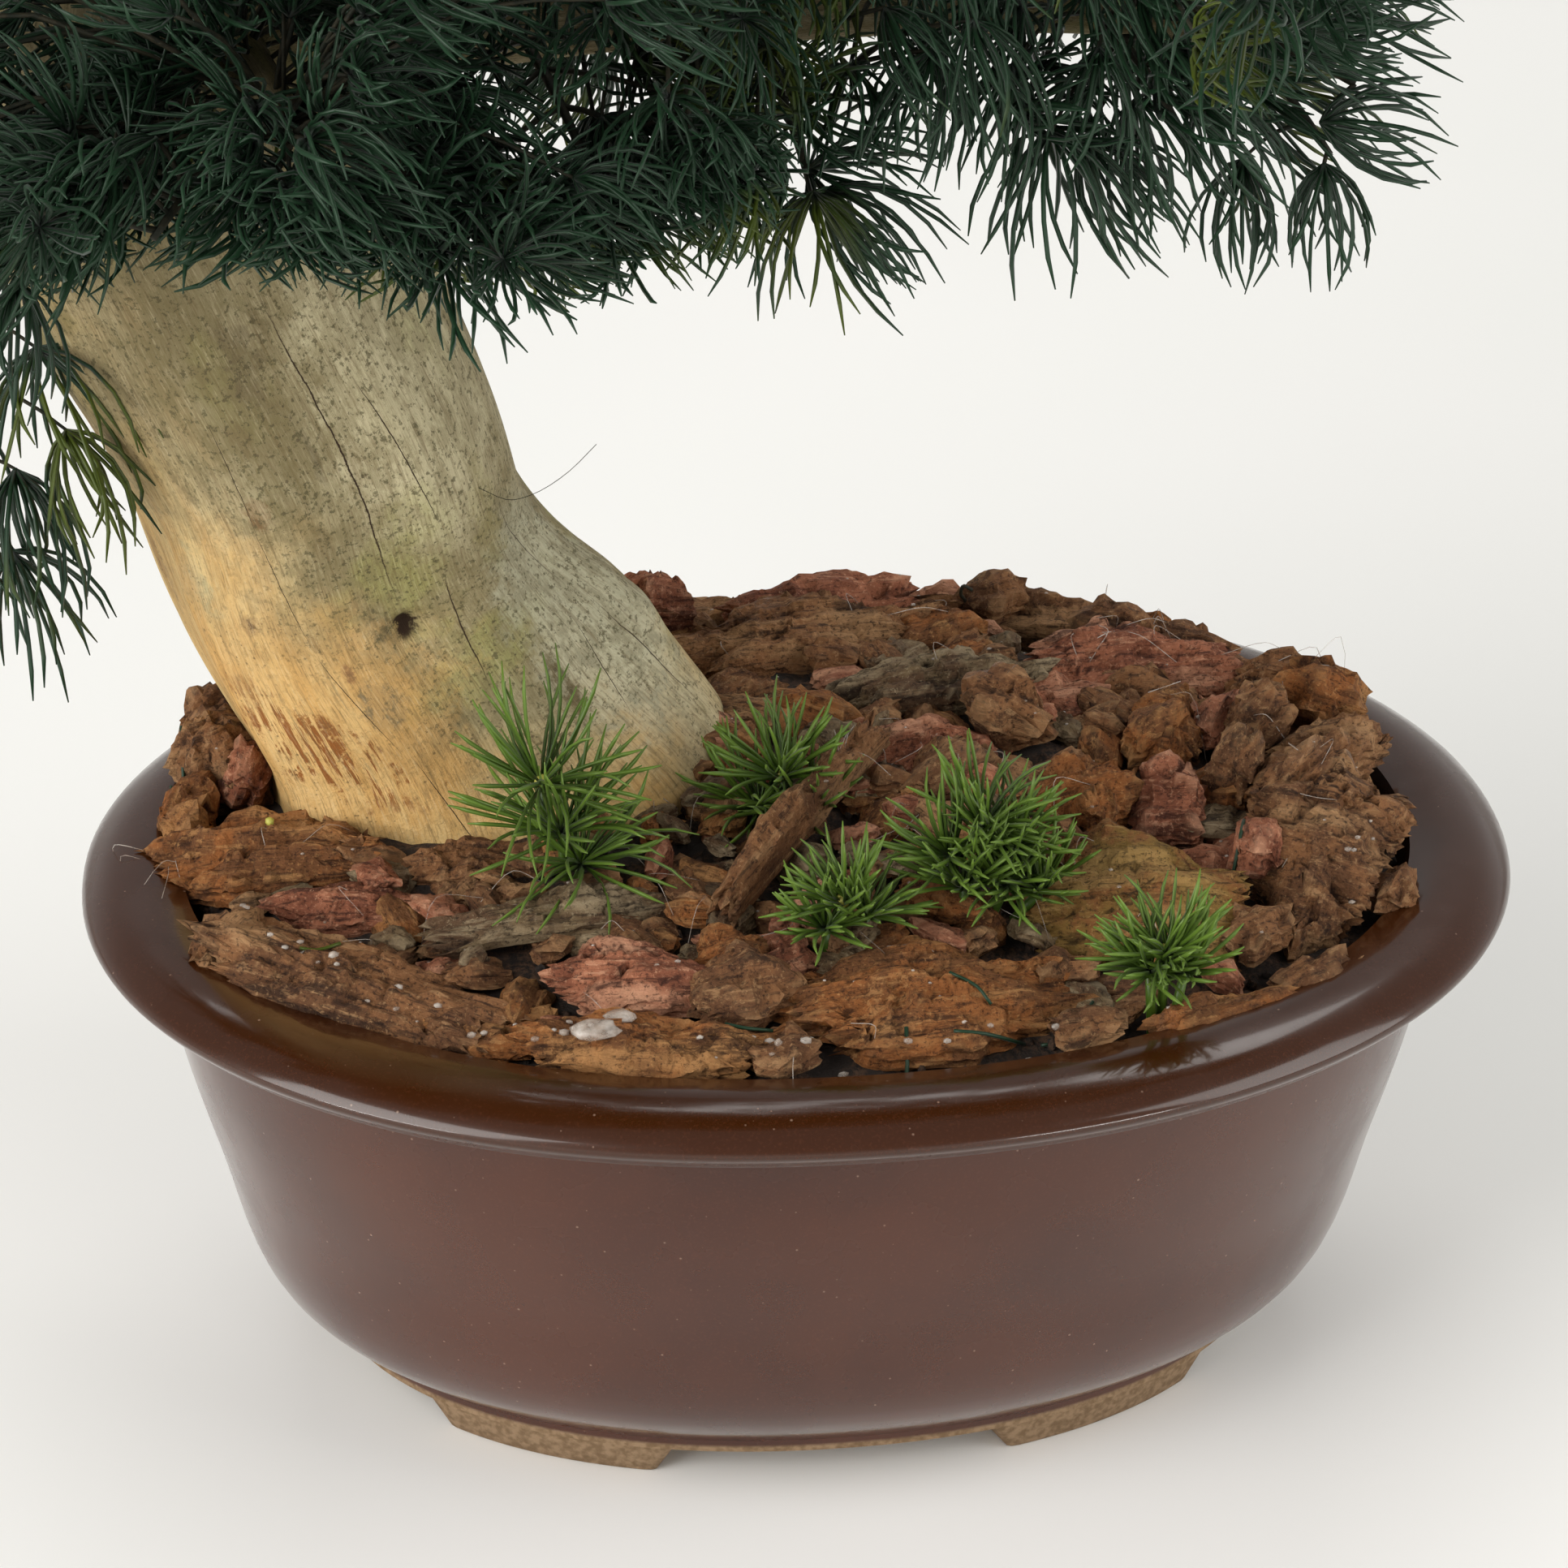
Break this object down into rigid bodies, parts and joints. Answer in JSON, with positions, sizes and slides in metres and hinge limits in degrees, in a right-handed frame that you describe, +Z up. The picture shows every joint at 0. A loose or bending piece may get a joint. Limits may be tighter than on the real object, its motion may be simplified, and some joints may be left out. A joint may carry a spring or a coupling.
{
  "type": "ming fern bonsai",
  "caption": "Ming fern bonsai with a leaning driftwood trunk and drooping needle sprays, standing in bark chips in a glazed oval footed pot.",
  "frame": {"origin": "on the table, under the middle of the pot, level with the bottoms of its feet", "axes": "+X along the pot's long axis to the right as seen from the front, +Y away from the front, +Z up"},
  "size_m": [0.3314, 0.2, 0.4542],
  "materials": {
    "brown_glaze": "glossy dark red-brown glaze, feet unglazed olive-brown clay",
    "gravel": "dark fine gravel set in glue",
    "driftwood": "bare weathered wood, cream to golden tan with grey-green stains and dark cracks",
    "bark": "rough fibrous bark, red-brown to orange and grey-brown",
    "fern": "preserved needles, dark blue-green with a soft sheen",
    "fresh_sprig": "preserved needles, fresh green with a soft sheen"
  },
  "bodies": {
    "root": {"pot": "brown_glaze", "gravel_bed": "gravel", "driftwood_trunk": "driftwood", "bark_red": "bark", "bark_small_orange": "bark", "bark_diagonal_strip": "bark", "bark_front_long": "bark", "bark_front_fibrous": "bark", "bark_orange_plank": "bark", "bark_left_upper": "bark", "bark_left_mid": "bark", "bark_curved_dark": "bark", "bark_trunk_foot": "bark", "bark_block": "bark", "bark_plate": "bark", "bark_right_upright": "bark", "bark_rim_wedge": "bark", "bark_right_rim": "bark", "bark_right_back": "bark", "bark_nodular": "bark", "bark_back_slab": "bark", "bark_gray_log": "bark", "bark_pink_slab": "bark", "bark_back_right": "bark", "bark_back_ridge": "bark", "bark_back_shard": "bark", "bark_reddish": "bark", "bark_left_back": "bark", "bark_behind_trunk": "bark", "sprig_by_trunk": "fresh_sprig", "sprig_at_root": "fresh_sprig", "sprig_large": "fresh_sprig", "sprig_middle": "fresh_sprig", "sprig_right": "fresh_sprig", "spray_low_right_front": "fern", "spray_low_right_drooping": "fern", "spray_low_right_outer": "fern", "spray_low_right_end": "fern", "spray_low_right_tip": "fern", "spray_low_right_back": "fern", "spray_low_back": "fern", "spray_front_right": "fern", "spray_front_left": "fern", "spray_front_low": "fern", "spray_left_hanging": "fern", "spray_left_end": "fern", "spray_left_back": "fern", "spray_back_right": "fern", "spray_back_left": "fern", "spray_mid_right_end": "fern", "spray_mid_right_front": "fern", "spray_mid_right_back": "fern", "spray_mid_inner": "fern", "spray_mid_left_end": "fern", "spray_mid_left_front": "fern", "spray_crown_right": "fern", "spray_crown_front": "fern", "spray_crown_back": "fern", "spray_crown_left": "fern", "spray_crown_top": "fern"}
  },
  "joints": []
}
